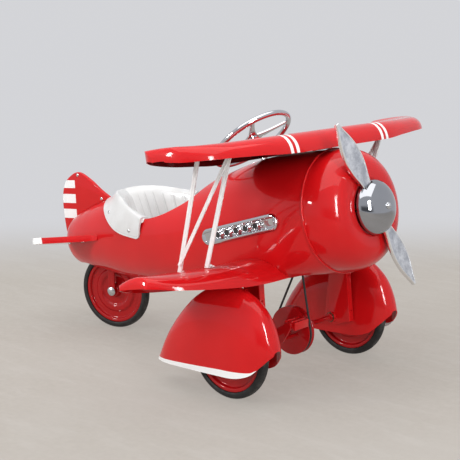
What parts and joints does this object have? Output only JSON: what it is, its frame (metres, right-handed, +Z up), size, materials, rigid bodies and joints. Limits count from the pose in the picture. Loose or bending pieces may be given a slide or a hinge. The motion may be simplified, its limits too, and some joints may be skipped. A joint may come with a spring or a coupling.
{
  "type": "pedal plane",
  "caption": "Child's ride-on biplane with pedals on a cranked front axle, a belt-driven propeller, a pleated bucket seat and a steering wheel linked to a steered tail wheel.",
  "frame": {"origin": "on the ground, under the middle of the plane's length and width", "axes": "+X forward to the propeller, +Y to the plane's left, +Z up"},
  "size_m": [1.1618, 0.9, 0.6604],
  "materials": {
    "red_paint": "gloss",
    "dark_red_paint": "gloss",
    "white_paint": "gloss",
    "seat_white": "gloss",
    "chrome": "polished",
    "aluminium": "polished cast",
    "steel": "plated",
    "black_paint": "satin",
    "bronze": "plain",
    "tyre": "matte",
    "belt": "matte"
  },
  "bodies": {
    "airframe": {"fuselage_shell": "red_paint", "nose_cowl": "red_paint", "nose_bulkhead": "dark_red_paint", "shaft_bracket": "black_paint", "shaft_bushes": "bronze", "chassis_beam": "dark_red_paint", "leg_right": "red_paint", "leg_left": "red_paint", "axle_bushes": "bronze", "pant_outer_right": "red_paint", "pant_outer_left": "red_paint", "pant_inner_right": "red_paint", "pant_inner_left": "red_paint", "upper_wing": "red_paint", "lower_wing_right": "red_paint", "lower_wing_left": "red_paint", "front_strut_right": "white_paint", "front_strut_left": "white_paint", "rear_strut_right": "white_paint", "rear_strut_left": "white_paint", "diagonal_strut_right": "white_paint", "diagonal_strut_left": "white_paint", "strut_rivets": "white_paint", "strut_bolts": "white_paint", "cabane_front": "dark_red_paint", "cabane_rear": "dark_red_paint", "exhaust_trim_right": "chrome", "exhaust_trim_left": "chrome", "seat": "seat_white", "seat_screws": "steel", "tail_fin": "red_paint", "fin_bolts": "steel", "stabilizer_right": "red_paint", "stabilizer_left": "red_paint", "stabilizer_bolts": "steel", "column_bracket": "black_paint", "tail_bracket": "dark_red_paint", "drive_belt": "belt"},
    "crank_axle": {"crank_right": "dark_red_paint", "crank_left": "dark_red_paint", "crank_pulley": "dark_red_paint", "wheel_disc_right": "dark_red_paint", "tyre_right": "tyre", "hub_nuts": "steel"},
    "left_wheel": {"wheel_disc_left": "dark_red_paint", "tyre_left": "tyre"},
    "right_pedal": {"pedal_right": "red_paint"},
    "left_pedal": {"pedal_left": "red_paint"},
    "propeller_shaft": {"prop_shaft": "steel", "prop_pulley": "dark_red_paint", "propeller": "aluminium", "spinner": "chrome", "spinner_screw": "steel"},
    "steering": {"steering_wheel": "chrome", "steering_column": "steel"},
    "link": {"drag_link": "steel"},
    "fork": {"tail_fork": "dark_red_paint", "tail_axle": "steel"},
    "tail_wheel": {"tail_wheel_disc": "dark_red_paint", "tail_tyre": "tyre"}
  },
  "joints": [
    {"name": "crank_spin", "type": "hinge", "parent": "airframe", "child": "crank_axle", "pos_m": [0.29424, 0, 0.115], "axis": [0, 1, 0], "continuous": true},
    {"name": "left_wheel_spin", "type": "hinge", "parent": "airframe", "child": "left_wheel", "pos_m": [0.29424, 0.233, 0.115], "axis": [0, 1, 0], "continuous": true},
    {"name": "right_pedal_spin", "type": "hinge", "parent": "crank_axle", "child": "right_pedal", "pos_m": [0.33657, -0.038, 0.1469], "axis": [0, 1, 0], "continuous": true},
    {"name": "left_pedal_spin", "type": "hinge", "parent": "crank_axle", "child": "left_pedal", "pos_m": [0.25191, 0.038, 0.0831], "axis": [0, 1, 0], "continuous": true},
    {"name": "propeller_spin", "type": "hinge", "parent": "airframe", "child": "propeller_shaft", "pos_m": [0.29424, 0, 0.405], "axis": [0.9799, 0, 0.1994], "continuous": true},
    {"name": "steering_turn", "type": "hinge", "parent": "airframe", "child": "steering", "pos_m": [0.16074, 0, 0.5825], "axis": [-0.6691, 0, 0.7431], "range_deg": [-6, 34]},
    {"name": "link_pivot", "type": "hinge", "parent": "steering", "child": "link", "pos_m": [0.28629, 0.04269, 0.45898], "axis": [-0.6691, 0, 0.7431], "range_deg": [-34, 6]},
    {"name": "tail_swivel", "type": "hinge", "parent": "airframe", "child": "fork", "pos_m": [-0.36076, 0, 0.11], "axis": [0, 0, 1], "range_deg": [-34, 6]},
    {"name": "tail_wheel_spin", "type": "hinge", "parent": "fork", "child": "tail_wheel", "pos_m": [-0.36076, 0, 0.11], "axis": [-0.2419, 0.9703, 0], "continuous": true}
  ],
  "couplings": [
    {"joint": "propeller_spin", "follows": "crank_spin", "ratio": 1.2609},
    {"joint": "link_pivot", "follows": "steering_turn", "ratio": -1},
    {"joint": "tail_swivel", "follows": "steering_turn", "ratio": -1}
  ]
}
